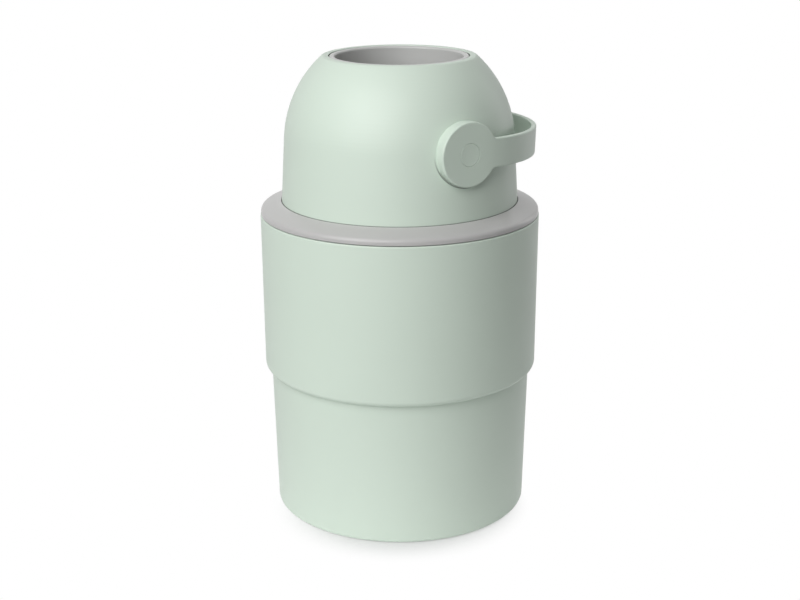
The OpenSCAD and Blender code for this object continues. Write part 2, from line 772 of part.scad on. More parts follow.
lower_bucket();
base_pads();
upper_sleeve();
sleeve_screws();
bag_collar();
rim_gasket();
shoulder_ring();
dome_shell();
throat();
head_screws();
upper_wiper_seal();
lower_wiper_seal();
front_bush();
back_bush();
chamber_tube();
upper_mouth_ring();
lower_mouth_ring();
upper_ball_half();
lower_ball_half();
ball_screws();
front_trunnion();
back_trunnion();
trunnion_screws();
handle_bail();
handle_screws();
front_cap();
back_cap();
piston_cup();
piston_cover();
piston_weight();
piston_seals();
piston_screws();
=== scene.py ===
import math

import bmesh
import bpy
from mathutils import Matrix, Vector
from mathutils.geometry import delaunay_2d_cdt


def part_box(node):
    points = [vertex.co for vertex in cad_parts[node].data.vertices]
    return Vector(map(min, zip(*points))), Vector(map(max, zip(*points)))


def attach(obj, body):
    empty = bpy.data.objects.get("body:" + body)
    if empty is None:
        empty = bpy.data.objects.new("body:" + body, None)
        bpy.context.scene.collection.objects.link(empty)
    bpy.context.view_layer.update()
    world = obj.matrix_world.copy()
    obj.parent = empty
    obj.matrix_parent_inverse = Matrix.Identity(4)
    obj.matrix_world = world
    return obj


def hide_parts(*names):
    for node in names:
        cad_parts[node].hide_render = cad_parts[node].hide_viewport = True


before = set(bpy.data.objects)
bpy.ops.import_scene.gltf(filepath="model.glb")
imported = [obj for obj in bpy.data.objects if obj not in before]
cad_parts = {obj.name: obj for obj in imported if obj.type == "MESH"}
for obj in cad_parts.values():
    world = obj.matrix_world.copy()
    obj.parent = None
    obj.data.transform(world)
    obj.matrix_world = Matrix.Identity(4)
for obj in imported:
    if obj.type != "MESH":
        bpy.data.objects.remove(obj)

scene = bpy.context.scene
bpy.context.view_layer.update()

# ---------------------------------------------------------------- where the bin is seen from
# The bin stands with its handle towards +X. It is seen from the front and a little from the
# left, from somewhat above its mouth, at the distance from which its rings flatten as they do.
view_turn = 0.570            # radians, as the tilt and the roll
view_tilt = 0.3078
view_roll = -0.0033
view_distance = 1.3628       # metres from the bin's axis, measured along the floor
view_height = 0.6373
lens_length = 64.83          # millimetres, as the sensor's width
sensor_width = 36


def round_the_bin(turn, distance, height):
    """A place beside the bin, in metres, turned by that angle to the right of the viewer."""
    around = view_turn - turn
    return (-distance * math.sin(around), -distance * math.cos(around), height)


camera_data = bpy.data.cameras.new("camera")
camera_data.sensor_width = sensor_width
camera_data.lens = lens_length
camera = bpy.data.objects.new("camera", camera_data)
camera.location = round_the_bin(0, view_distance, view_height)
camera.rotation_euler = (
    Matrix.Rotation(-view_turn, 3, "Z")
    @ Matrix.Rotation(math.pi / 2 - view_tilt, 3, "X")
    @ Matrix.Rotation(view_roll, 3, "Z")
).to_euler()
scene.collection.objects.link(camera)
scene.camera = camera
scene.view_settings.view_transform = "Standard"


# ---------------------------------------------------------------- the studio
# A pale floor that runs far out, one wide soft box to the left of the viewer, a weak strip
# behind on the right, and a surround that is bright overhead and that gloss reflects as
# white. The floor near the bin is the brightest, and lights it from below. All in metres.
def join(tree, source, target):
    tree.links.new(source, target)


def feed(tree, value, target):
    """Gives a socket a number, a colour or what another socket puts out."""
    if isinstance(value, (int, float)):
        target.default_value = value
    elif isinstance(value, tuple):
        target.default_value = (*value, 1)
    else:
        join(tree, value, target)


def reckon(tree, operation, *values, clamp=False):
    """A Math node on sockets or numbers."""
    step = tree.nodes.new("ShaderNodeMath")
    step.operation = operation
    step.use_clamp = clamp
    for slot, value in enumerate(values):
        feed(tree, value, step.inputs[slot])
    return step.outputs[0]


def ranged(tree, value, start, end, first, last, eased=False):
    """A Map Range node: first up to where the value is start, last from where it is end."""
    step = tree.nodes.new("ShaderNodeMapRange")
    if eased:
        step.interpolation_type = "SMOOTHSTEP"
    for label, number in (("From Min", start), ("From Max", end), ("To Min", first), ("To Max", last)):
        step.inputs[label].default_value = number
    join(tree, value, step.inputs["Value"])
    return step.outputs[0]


def across(tree, place):
    """The X, Y and Z of a place or a direction."""
    parts = tree.nodes.new("ShaderNodeSeparateXYZ")
    join(tree, place, parts.inputs[0])
    return parts.outputs


def apart(tree, place, point):
    """How far a place is from a fixed point."""
    gap = tree.nodes.new("ShaderNodeVectorMath")
    gap.operation = "DISTANCE"
    join(tree, place, gap.inputs[0])
    gap.inputs[1].default_value = point
    return gap.outputs["Value"]


def either(tree, share, first, second):
    """A Mix Shader node."""
    mix = tree.nodes.new("ShaderNodeMixShader")
    for slot, source in enumerate((share, first, second)):
        join(tree, source, mix.inputs[slot])
    return mix.outputs[0]


def seen_directly(tree):
    """1 for the camera, for gloss and for glass, 0 for the light that falls on the bin."""
    path = tree.nodes.new("ShaderNodeLightPath")
    seen = path.outputs["Is Camera Ray"]
    for kind in ("Is Glossy Ray", "Is Transmission Ray"):
        seen = reckon(tree, "MAXIMUM", seen, path.outputs[kind])
    return seen


world = bpy.data.worlds.new("surround")
world.use_nodes = True
sky = world.node_tree
sky.nodes.clear()
direction = sky.nodes.new("ShaderNodeTexCoord").outputs["Generated"]
steep = reckon(sky, "POWER", across(sky, direction)["Z"], 4.0, clamp=True)
overhead = sky.nodes.new("ShaderNodeBackground")
overhead.inputs["Color"].default_value = (1, 1, 1, 1)
join(sky, ranged(sky, steep, start=0.0, end=1.0, first=0.02, last=0.78), overhead.inputs["Strength"])
white = sky.nodes.new("ShaderNodeBackground")
white.inputs["Color"].default_value = (1, 1, 1, 1)
white.inputs["Strength"].default_value = 1.0
surround = either(sky, seen_directly(sky), overhead.outputs[0], white.outputs[0])
join(sky, surround, sky.nodes.new("ShaderNodeOutputWorld").inputs["Surface"])
scene.world = world

shadow_shift = 0.035         # how far the middle of the shadow lies in front of the bin's
shadow_glow = 0.30           # the share of plain white that is left in the shadow
floor_half = 6.0

floor_paint = bpy.data.materials.new("studio_floor")
floor_paint.use_nodes = True
paint = floor_paint.node_tree
paint.nodes.clear()
place = paint.nodes.new("ShaderNodeTexCoord").outputs["Object"]
from_axis = apart(paint, place, (0, 0, 0))
from_shadow = apart(paint, place, round_the_bin(0, shadow_shift, 0))

# The floor as it lights the bin: palest round the foot, where it also glows a little.
pale = paint.nodes.new("ShaderNodeBsdfDiffuse")
join(paint, ranged(paint, from_axis, start=0.25, end=0.90, first=0.80, last=0.26), pale.inputs["Color"])
bounce = paint.nodes.new("ShaderNodeEmission")
join(paint, ranged(paint, from_axis, start=0.20, end=0.36, first=0.16, last=0.0, eased=True),
     bounce.inputs["Strength"])
lighting = paint.nodes.new("ShaderNodeAddShader")
join(paint, pale.outputs[0], lighting.inputs[0])
join(paint, bounce.outputs[0], lighting.inputs[1])

# The floor as it is seen: white, with the real shadow kept close in front of the foot, and painted shade that
# darkens the floor's own colour there.
shaded = paint.nodes.new("ShaderNodeBsdfDiffuse")
# Painted shade: the floor's colour darkens from 0.97 to 0.62 towards the front of the foot.
join(paint, ranged(paint, from_shadow, start=0.085, end=0.130, first=0.62, last=0.97), shaded.inputs["Color"])
glow = paint.nodes.new("ShaderNodeEmission")
glow.inputs["Strength"].default_value = 1.0
past_foot = ranged(paint, from_axis, start=0.118, end=0.126, first=shadow_glow, last=1.0, eased=True)
past_shadow = ranged(paint, from_shadow, start=0.087, end=0.132, first=shadow_glow, last=1.0, eased=True)
veil = reckon(paint, "MINIMUM", past_foot, past_shadow)
seen_floor = either(paint, veil, shaded.outputs[0], glow.outputs[0])
floor_surface = either(paint, seen_directly(paint), lighting.outputs[0], seen_floor)
join(paint, floor_surface, paint.nodes.new("ShaderNodeOutputMaterial").inputs["Surface"])

floor_mesh = bpy.data.meshes.new("studio_floor")
floor_corners = [(x * floor_half, y * floor_half, 0) for x, y in ((-1, -1), (1, -1), (1, 1), (-1, 1))]
floor_mesh.from_pydata(floor_corners, [], [(0, 1, 2, 3)])
floor_mesh.materials.append(floor_paint)
studio_floor = bpy.data.objects.new("studio_floor", floor_mesh)
scene.collection.objects.link(studio_floor)

lamp_aim = Vector((0, 0, 0.25))


def soft_box(name, turn, height, distance, width, tall, power):
    """A lamp with a rectangular face towards the bin; its turn is in degrees."""
    data = bpy.data.lights.new(name, "AREA")
    data.shape = "RECTANGLE"
    data.size = width
    data.size_y = tall
    data.energy = power
    lamp = bpy.data.objects.new(name, data)
    lamp.location = round_the_bin(math.radians(turn), distance, height)
    lamp.rotation_euler = (lamp_aim - lamp.location).to_track_quat("-Z", "Y").to_euler()
    scene.collection.objects.link(lamp)


soft_box("key_lamp", turn=-32, height=1.42, distance=1.75, width=1.9, tall=1.9, power=44.7)
soft_box("edge_lamp", turn=124, height=0.6, distance=1.6, width=0.5, tall=1.2, power=3.1)


# ---------------------------------------------------------------- lower bucket
# The tapered pail of the bin, injection-moulded in sage polypropylene with a fine satin skin.
# It stands on a ring round its foot, and its neck goes up inside the sleeve, which is
# screwed to six bosses. From here on, sizes and places are in millimetres.
def shade_group(name, values, results):
    """A node group that takes a place and these numbers, with what goes in and comes out."""
    group = bpy.data.node_groups.new(name, "ShaderNodeTree")
    group.interface.new_socket("Place", in_out="INPUT", socket_type="NodeSocketVector")
    for label, number in values.items():
        socket = group.interface.new_socket(label, in_out="INPUT", socket_type="NodeSocketFloat")
        socket.default_value = number
    for label in results:
        group.interface.new_socket(label, in_out="OUTPUT", socket_type="NodeSocketFloat")
    return group, group.nodes.new("NodeGroupInput").outputs, group.nodes.new("NodeGroupOutput").inputs


def noise(tree, place, scale, detail=2.0, rough=0.5):
    """A Noise Texture node, with about as many blotches to a metre as its scale says."""
    field = tree.nodes.new("ShaderNodeTexNoise")
    field.inputs["Detail"].default_value = detail
    field.inputs["Roughness"].default_value = rough
    feed(tree, scale, field.inputs["Scale"])
    join(tree, place, field.inputs["Vector"])
    return field.outputs["Fac"]


def close_to(tree, distance, band):
    """1 where a distance is nothing, falling to 0 where it is as long as the band."""
    share = reckon(tree, "DIVIDE", reckon(tree, "ABSOLUTE", distance), band)
    return reckon(tree, "SUBTRACT", 1.0, share, clamp=True)


# The skin of a moulding: slow drifts of tone, patches of sheen, and the grain of the mould.
moulded_skin, skin_in, skin_out = shade_group(
    "moulded_skin", {"Grain": 900.0, "Sheen": 0.45, "Patchiness": 0.06}, ["Tone", "Roughness", "Height"])
join(moulded_skin, noise(moulded_skin, skin_in["Place"], 7.0, detail=1.5), skin_out["Tone"])
patch = reckon(moulded_skin, "SUBTRACT", noise(moulded_skin, skin_in["Place"], 45.0, detail=3.0), 0.5)
patchy = reckon(moulded_skin, "MULTIPLY_ADD", patch, skin_in["Patchiness"], skin_in["Sheen"])
join(moulded_skin, patchy, skin_out["Roughness"])
fine = noise(moulded_skin, skin_in["Place"], skin_in["Grain"], rough=0.6)
slow = reckon(moulded_skin, "MULTIPLY", noise(moulded_skin, skin_in["Place"], 20.0, detail=1.0), 0.6)
join(moulded_skin, reckon(moulded_skin, "ADD", fine, slow), skin_out["Height"])

# Faint pale rubbing along an edge that goes round the bin at one height, in metres.
rubbed_edge, rub_in, rub_out = shade_group("rubbed_edge", {"Edge height": 0.1, "Band": 0.002}, ["Mask"])
above = reckon(rubbed_edge, "SUBTRACT", across(rubbed_edge, rub_in["Place"])["Z"], rub_in["Edge height"])
patches = noise(rubbed_edge, rub_in["Place"], 60.0, detail=4.0, rough=0.65)
broken = reckon(rubbed_edge, "SUBTRACT", patches, 0.35, clamp=True)
rubbing = reckon(rubbed_edge, "MULTIPLY", close_to(rubbed_edge, above, rub_in["Band"]), broken)
join(rubbed_edge, rubbing, rub_out["Mask"])

# A painted dark line of shade, with some dust, along a joint that goes round the bin at one height.
joint_shade_line, line_in, line_out = shade_group("joint_shade_line", {"Joint height": 0.1, "Band": 0.0008}, ["Mask"])
above = reckon(joint_shade_line, "SUBTRACT", across(joint_shade_line, line_in["Place"])["Z"], line_in["Joint height"])
uneven = reckon(joint_shade_line, "MULTIPLY_ADD", noise(joint_shade_line, line_in["Place"], 40.0, detail=3.0), 0.3, 0.85)
darkness = reckon(joint_shade_line, "MULTIPLY", close_to(joint_shade_line, above, line_in["Band"]), uneven, clamp=True)
join(joint_shade_line, darkness, line_out["Mask"])

# A trace of dust on what faces up.
settled_dust, dust_in, dust_out = shade_group("settled_dust", {}, ["Mask"])
facing = settled_dust.nodes.new("ShaderNodeNewGeometry").outputs["Normal"]
level = reckon(settled_dust, "SUBTRACT", across(settled_dust, facing)["Z"], 0.5, clamp=True)
specks = noise(settled_dust, dust_in["Place"], 130.0, detail=5.0, rough=0.7)
join(settled_dust, reckon(settled_dust, "MULTIPLY", level, specks), dust_out["Mask"])


def effect(tree, group, place, values):
    """A shared effect put into a material, with its own values."""
    node = tree.nodes.new("ShaderNodeGroup")
    node.node_tree = group
    join(tree, place, node.inputs["Place"])
    for label, number in values.items():
        node.inputs[label].default_value = number
    return node.outputs


def blend_colour(tree, share, first, second):
    """A Mix node set to colours: its sockets 0, 6 and 7 are the share and the two colours."""
    mix = tree.nodes.new("ShaderNodeMix")
    mix.data_type = "RGBA"
    for slot, value in ((0, share), (6, first), (7, second)):
        feed(tree, value, mix.inputs[slot])
    return mix.outputs[2]


def tinted(colour, share):
    """A colour made lighter or darker."""
    return tuple(c * share for c in colour)


def relief(tree, height, strength, depth):
    """The normal of a surface with that height on it, up to that many millimetres deep."""
    bump = tree.nodes.new("ShaderNodeBump")
    bump.inputs["Strength"].default_value = strength
    bump.inputs["Distance"].default_value = depth / 1000
    join(tree, height, bump.inputs["Height"])
    return bump.outputs["Normal"]


dust_colour = (0.62, 0.60, 0.57)
rub_share = 0.35             # how far a rubbed edge turns pale
joint_shade = 0.18           # what is left of the colour in a joint's painted dark line of shade and dust


def plastic(name, colour, sheen, grain=900.0, depth=0.02, edges=(), joints=(), dust=0.05):
    """A moulded plastic of that colour, with a grain that deep. edges are the heights at which
    it is faintly rubbed, and joints those at which a joint's painted dark line of shade and dust crosses it."""
    made = bpy.data.materials.new(name)
    made.use_nodes = True
    tree = made.node_tree
    shell = tree.nodes["Principled BSDF"]
    place = tree.nodes.new("ShaderNodeTexCoord").outputs["Object"]
    skin = effect(tree, moulded_skin, place, {"Grain": grain, "Sheen": sheen})
    tone = blend_colour(tree, skin["Tone"], tinted(colour, 0.975), tinted(colour, 1.025))
    for height in edges:
        rub = effect(tree, rubbed_edge, place, {"Edge height": height / 1000})
        faint = reckon(tree, "MULTIPLY", rub["Mask"], rub_share)
        tone = blend_colour(tree, faint, tone, tuple(0.5 + c * 0.5 for c in colour))
    # Painted shade and dust: a dark line along each joint.
    for height in joints:
        line = effect(tree, joint_shade_line, place, {"Joint height": height / 1000})
        tone = blend_colour(tree, line["Mask"], tone, tinted(colour, joint_shade))
    thin = reckon(tree, "MULTIPLY", effect(tree, settled_dust, place, {})["Mask"], dust)
    join(tree, blend_colour(tree, thin, tone, dust_colour), shell.inputs["Base Color"])
    join(tree, skin["Roughness"], shell.inputs["Roughness"])
    shell.inputs["IOR"].default_value = 1.49
    join(tree, relief(tree, skin["Height"], 0.5, depth), shell.inputs["Normal"])
    return made


def dress(node, material):
    """A node of the frame keeps its shape and gets this material."""
    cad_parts[node].material_slots[0].material = material


def span(node, axis):
    """Where a node of the frame begins and ends along x, y or z, to a hundredth."""
    return [round(getattr(corner, axis) * 1000, 2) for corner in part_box(node)]


sage = (0.612, 0.710, 0.622)
bucket_foot, bucket_top = span("lower_bucket", "z")
dress("lower_bucket", plastic("sage_bucket", sage, 0.46, edges=(bucket_foot + 0.9, bucket_top)))


# ---------------------------------------------------------------- base pads
# Four round anti-slip pads of dark rubber, pressed into seats under the bucket's foot ring.
# Fine rings are moulded in their undersides.
def shape_tree(name, inputs, result):
    """A geometry tree with these named sockets, with what goes in and comes out."""
    tree = bpy.data.node_groups.new(name, "GeometryNodeTree")
    for label, kind in inputs.items():
        tree.interface.new_socket(label, in_out="INPUT", socket_type="NodeSocket" + kind)
    tree.interface.new_socket(result, in_out="OUTPUT", socket_type="NodeSocketGeometry")
    return tree, tree.nodes.new("NodeGroupInput").outputs, tree.nodes.new("NodeGroupOutput").inputs


def finish_tree(tree, geometry, material, end):
    """The last steps of a geometry tree, from its copies to a mesh with a material."""
    real = tree.nodes.new("GeometryNodeRealizeInstances")
    join(tree, geometry, real.inputs[0])
    dressed = tree.nodes.new("GeometryNodeSetMaterial")
    join(tree, real.outputs[0], dressed.inputs["Geometry"])
    join(tree, material, dressed.inputs["Material"])
    join(tree, dressed.outputs[0], end[0])


def made_by(tree, mesh, values):
    """The plain mesh that a geometry tree makes of a mesh, with these named inputs."""
    draft = bpy.data.objects.new("draft", mesh)
    scene.collection.objects.link(draft)
    step = draft.modifiers.new("step", "NODES")
    step.node_group = tree
    for socket in tree.interface.items_tree:
        if socket.in_out == "INPUT" and socket.name in values:
            step[socket.identifier] = values[socket.name]
    graph = bpy.context.evaluated_depsgraph_get()
    made = bpy.data.meshes.new_from_object(draft.evaluated_get(graph), depsgraph=graph)
    draft.modifiers.remove(step)
    bpy.data.objects.remove(draft)
    return made


crease = math.radians(32)    # an edge is sharp where the surface turns by more than this


def smooth(mesh):
    """Merges a mesh's doubles, turns its faces outwards and shades it smooth."""
    shape = bmesh.new()
    shape.from_mesh(mesh)
    bmesh.ops.remove_doubles(shape, verts=shape.verts, dist=0.000001)
    bmesh.ops.recalc_face_normals(shape, faces=shape.faces)
    shape.to_mesh(mesh)
    shape.free()
    mesh.shade_smooth()
    mesh.set_sharp_from_angle(angle=crease)
    return mesh


# Turns an outline, whose points are (radius, 0, height), about the bin's axis.
turned_piece, lathe_in, lathe_out = shape_tree(
    "turned_piece", {"Outline": "Geometry", "Steps": "Int", "Material": "Material"}, "Piece")
size = turned_piece.nodes.new("GeometryNodeAttributeDomainSize")
join(turned_piece, lathe_in["Outline"], size.inputs[0])
points = size.outputs["Point Count"]
sheet = turned_piece.nodes.new("GeometryNodeMeshGrid")
join(turned_piece, reckon(turned_piece, "ADD", lathe_in["Steps"], 1.0), sheet.inputs["Vertices X"])
join(turned_piece, points, sheet.inputs["Vertices Y"])
number = turned_piece.nodes.new("GeometryNodeInputIndex").outputs[0]
columns = reckon(turned_piece, "DIVIDE", reckon(turned_piece, "ADD", number, 0.5), points)
column = reckon(turned_piece, "FLOOR", columns)
row = reckon(turned_piece, "SUBTRACT", number, reckon(turned_piece, "MULTIPLY", column, points))
corner = turned_piece.nodes.new("GeometryNodeSampleIndex")
corner.data_type = "FLOAT_VECTOR"
join(turned_piece, lathe_in["Outline"], corner.inputs["Geometry"])
join(turned_piece, turned_piece.nodes.new("GeometryNodeInputPosition").outputs[0], corner.inputs["Value"])
join(turned_piece, row, corner.inputs["Index"])
part_turn = reckon(turned_piece, "DIVIDE", column, lathe_in["Steps"])
swing = turned_piece.nodes.new("ShaderNodeVectorRotate")
swing.rotation_type = "Z_AXIS"
join(turned_piece, corner.outputs["Value"], swing.inputs["Vector"])
join(turned_piece, reckon(turned_piece, "MULTIPLY", part_turn, 2 * math.pi), swing.inputs["Angle"])
placed = turned_piece.nodes.new("GeometryNodeSetPosition")
join(turned_piece, sheet.outputs["Mesh"], placed.inputs["Geometry"])
join(turned_piece, swing.outputs[0], placed.inputs["Position"])
finish_tree(turned_piece, placed.outputs[0], lathe_in["Material"], lathe_out)


def turned(outline, material, steps=192):
    """A closed mesh turned from an outline of (radius, height) points."""
    mesh = bpy.data.meshes.new("outline")
    mesh.from_pydata([(r / 1000, 0, z / 1000) for r, z in outline], [], [])
    return smooth(made_by(turned_piece, mesh, {"Steps": steps, "Material": material}))


def bend(centre, radius, first, last, steps=6):
    """Points along an arc of an outline, its angles in degrees."""
    angles = [math.radians(first + (last - first) * i / steps) for i in range(steps + 1)]
    return [(centre[0] + radius * math.cos(a), centre[1] + radius * math.sin(a)) for a in angles]


# Sets copies of a piece in a circle, each turned with its place.
ring_of_copies, ring_in, ring_out = shape_tree(
    "ring_of_copies",
    {"Single": "Geometry", "Count": "Int", "Radius": "Float", "Start": "Float", "Height": "Float",
     "Material": "Material"}, "Copies")
number = ring_of_copies.nodes.new("GeometryNodeInputIndex").outputs[0]
share = reckon(ring_of_copies, "DIVIDE", number, ring_in["Count"])
angle = reckon(ring_of_copies, "MULTIPLY_ADD", share, 2 * math.pi, ring_in["Start"])
spot = ring_of_copies.nodes.new("ShaderNodeCombineXYZ")
for axis, wave in (("X", "COSINE"), ("Y", "SINE")):
    leg = reckon(ring_of_copies, "MULTIPLY", ring_in["Radius"], reckon(ring_of_copies, wave, angle))
    join(ring_of_copies, leg, spot.inputs[axis])
join(ring_of_copies, ring_in["Height"], spot.inputs["Z"])
spots = ring_of_copies.nodes.new("GeometryNodePoints")
join(ring_of_copies, ring_in["Count"], spots.inputs["Count"])
join(ring_of_copies, spot.outputs[0], spots.inputs["Position"])
turn = ring_of_copies.nodes.new("ShaderNodeCombineXYZ")
join(ring_of_copies, angle, turn.inputs["Z"])
set_down = ring_of_copies.nodes.new("GeometryNodeInstanceOnPoints")
join(ring_of_copies, spots.outputs[0], set_down.inputs["Points"])
join(ring_of_copies, ring_in["Single"], set_down.inputs["Instance"])
join(ring_of_copies, turn.outputs[0], set_down.inputs["Rotation"])
finish_tree(ring_of_copies, set_down.outputs[0], ring_in["Material"], ring_out)


def in_a_ring(single, material, count, ring_r, start, height):
    """Copies of a mesh in a circle about the bin's axis; the start is in degrees."""
    values = {"Count": count, "Radius": ring_r / 1000, "Start": math.radians(start),
              "Height": height / 1000, "Material": material}
    return smooth(made_by(ring_of_copies, single.copy(), values))


def put(name, mesh, body, node):
    """A finished piece in the scene: what it rides on and what it stands for."""
    piece = bpy.data.objects.new(name, mesh)
    scene.collection.objects.link(piece)
    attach(piece, body)
    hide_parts(node)


pad_r = 8.0
pad_h = span("base_pads", "z")[1]
pad_ring_r = 111.2
pad_foot_round = 0.5
pad_top_round = 0.3
groove_depth = 0.3

rubber = plastic("seal_rubber", (0.045, 0.047, 0.047), 0.66, grain=2200.0, depth=0.03, dust=0.25)
grooves = []
for groove in (2.2, 4.0, 5.8):
    grooves += [(groove - 0.4, 0), (groove - 0.3, groove_depth),
                (groove + 0.3, groove_depth), (groove + 0.4, 0)]
pad_side = [*bend((pad_r - pad_foot_round, pad_foot_round), pad_foot_round, -90, 0, 4),
            *bend((pad_r - pad_top_round, pad_h - pad_top_round), pad_top_round, 0, 90, 3)]
pad = turned([(0, 0), *grooves, *pad_side, (0, pad_h)], rubber, steps=64)
put("anti_slip_pads", in_a_ring(pad, rubber, count=4, ring_r=pad_ring_r, start=45, height=0),
    "body", "base_pads")

# ---------------------------------------------------------------- upper sleeve
# The wider band over the bucket's neck, moulded in the same sage polypropylene. Its ledges
# sit on the neck and carry the bag collar, and six screws hold it.
sleeve_foot, sleeve_top = span("upper_sleeve", "z")
dress("upper_sleeve", plastic("sage_sleeve", sage, 0.46, edges=(sleeve_foot + 0.5, sleeve_top - 0.3)))


# ---------------------------------------------------------------- sleeve screws
# Six zinc-plated screws with hexagon sockets, driven down through the sleeve's ledge into
# the bosses of the bucket's neck.
def plated_steel():
    """Zinc-plated steel: grey metal with cloudy plating and fine turning marks."""
    made = bpy.data.materials.new("zinc_steel")
    made.use_nodes = True
    tree = made.node_tree
    shell = tree.nodes["Principled BSDF"]
    place = tree.nodes.new("ShaderNodeTexCoord").outputs["Object"]
    cloud = noise(tree, place, 300.0, detail=4.0, rough=0.6)
    join(tree, blend_colour(tree, cloud, (0.52, 0.53, 0.56), (0.70, 0.71, 0.72)), shell.inputs["Base Color"])
    shell.inputs["Metallic"].default_value = 1.0
    worn = noise(tree, place, 900.0, detail=3.0, rough=0.7)
    join(tree, reckon(tree, "MULTIPLY_ADD", worn, 0.25, 0.22), shell.inputs["Roughness"])
    marks = noise(tree, place, 2600.0, rough=0.6)
    join(tree, relief(tree, marks, 0.4, 0.01), shell.inputs["Normal"])
    return made


steel = plated_steel()
shank_r = 1.75
core_r = 1.40                # at the bottom of the thread
thread_pitch = 1.1
tip_h = 1.2                  # of the plain tip
neck_h = 1.6                 # of the shank under the head, which has no thread
screw_head_r = 3.4
screw_head_h = 2.2
head_round = 1.1
head_edge = 0.25
socket_r = 1.7               # to the corners of the hexagon
socket_floor = 1.1


def screw(length):
    """A screw whose head stands on z = 0: a rounded head, a hexagon socket and a thread."""
    thread = []
    turn = -length + tip_h
    while turn < -neck_h:
        thread += [(core_r, turn), (shank_r, turn + 0.35), (shank_r, turn + 0.5), (core_r, turn + 0.85)]
        turn += thread_pitch
    tip = [(0, -length), (0.9, -length), (core_r - 0.05, -length + 0.7)]
    neck = [(core_r + 0.05, -1.0), (shank_r, -0.6), (shank_r, 0)]
    head = [(screw_head_r - head_edge, 0), *bend((screw_head_r - head_edge, head_edge), head_edge, -60, 0, 3),
            *bend((screw_head_r - head_round, screw_head_h - head_round), head_round, 0, 90, 6)]
    socket = [(socket_r + 0.25, screw_head_h), (socket_r, screw_head_h - 0.2), (socket_r, socket_floor),
              (0, socket_floor - 0.15)]
    mesh = turned([*tip, *thread, *neck, *head, *socket], steel, steps=36)
    for point in mesh.vertices:
        x, y, z = point.co * 1000
        far = math.hypot(x, y)
        if abs(far - socket_r) < 0.1 and z > socket_floor - 0.1:
            slant = (math.atan2(y, x) % math.radians(60)) - math.radians(30)
            share = socket_r * math.cos(math.radians(30)) / math.cos(slant) / far
            point.co.x *= share
            point.co.y *= share
    return mesh


def ring_of_screws(node, count, ring_r, start=0, heads_down=False):
    """Upright screws in a circle, as high and as long as the node of the frame has them."""
    foot, top = span(node, "z")
    single = screw(round(top - foot - screw_head_h, 2))
    seat = top - screw_head_h
    if heads_down:
        single.transform(Matrix.Rotation(math.pi, 4, "X"))
        seat = foot + screw_head_h
    return in_a_ring(single, steel, count, ring_r, start, seat)


sleeve_screw_ring_r = span("sleeve_screws", "x")[1] - screw_head_r
put("sleeve_screw_set", ring_of_screws("sleeve_screws", 6, sleeve_screw_ring_r),
    "body", "sleeve_screws")

# ---------------------------------------------------------------- bag collar
# The loose ring that the bag is folded over, in warm grey polypropylene. It lies on the
# sleeve's upper ledge and lifts out.
warm_grey = (0.470, 0.465, 0.460)
grey_plastic = plastic("grey_moulding", warm_grey, 0.40)
dress("bag_collar", grey_plastic)

# ---------------------------------------------------------------- rim gasket
# The soft rubber ring on the collar, which the skirt of the head closes against. Two low
# lips run round its top.
gasket_foot, gasket_top = span("rim_gasket", "z")
gasket_out_r = 131.65
gasket_in_r = gasket_out_r - 5.0
gasket_round = 0.5
lip_round = 0.9
lip_z = gasket_top - lip_round
inner_lip_r = gasket_in_r + 1.45
valley_r = gasket_out_r - 2.15               # between the lips

gasket_outline = [
    *bend((gasket_out_r - gasket_round, gasket_foot + gasket_round), gasket_round, -90, 0, 3),
    *bend((gasket_out_r - lip_round, lip_z), lip_round, 0, 170, 8),
    (valley_r, lip_z - 0.5),
    *bend((inner_lip_r, lip_z), lip_round, 20, 180, 8),
    *bend((gasket_in_r + gasket_round, gasket_foot + gasket_round), gasket_round, 180, 270, 3)]
put("gasket_ring", turned([*gasket_outline, gasket_outline[0]], rubber), "body", "rim_gasket")

# ---------------------------------------------------------------- shoulder ring
# The sloping ring that closes the gap between dome and sleeve. It is one grey moulding
# with the skirt that finds the sleeve's mouth when the head is put back.
shoulder_top = span("shoulder_ring", "z")[1]
dome_joint_z = shoulder_top - 0.1
# The joint under the ring's flange gets a painted dark line of shade and dust.
dress("shoulder_ring",
      plastic("grey_shoulder", warm_grey, 0.30, edges=(dome_joint_z,), joints=(sleeve_top + 0.3,)))

# ---------------------------------------------------------------- dome
# The domed shell of the head, sage polypropylene, with a pocket on either side for the
# handle's discs and a mouth that stands close round the ball.
pivot_z = sum(span("front_bush", "z")) / 2
dome_top = span("dome_shell", "z")[1]
disc_shadow_r = 30.9                 # middle of the painted shadow line round a disc
disc_shadow_w = 1.0
disc_shadow_shade = 0.2              # what is left of the colour in that painted shadow line
disc_shadow_growth = 60.0            # how fast the painted shadow darkens below the pivot, to a metre

# Painted shadow: a dark line on the dome round each disc, deepest under the disc, where its shade falls.
painted_disc_shadow, disc_shadow_in, disc_shadow_out = shade_group("painted_disc_shadow", {"Radius": disc_shadow_r / 1000, "Band": disc_shadow_w / 1000}, ["Mask"])
spot = across(painted_disc_shadow, disc_shadow_in["Place"])
below = reckon(painted_disc_shadow, "SUBTRACT", pivot_z / 1000, spot["Z"])
below_squared = reckon(painted_disc_shadow, "MULTIPLY", below, below)
from_pivot = reckon(painted_disc_shadow, "SQRT", reckon(painted_disc_shadow, "MULTIPLY_ADD", spot["X"], spot["X"], below_squared))
from_line_middle = reckon(painted_disc_shadow, "SUBTRACT", from_pivot, disc_shadow_in["Radius"])
low = reckon(painted_disc_shadow, "MULTIPLY", below, disc_shadow_growth, clamp=True)
disc_shadow_line = reckon(painted_disc_shadow, "MULTIPLY", close_to(painted_disc_shadow, from_line_middle, disc_shadow_in["Band"]), low)
join(painted_disc_shadow, disc_shadow_line, disc_shadow_out["Mask"])

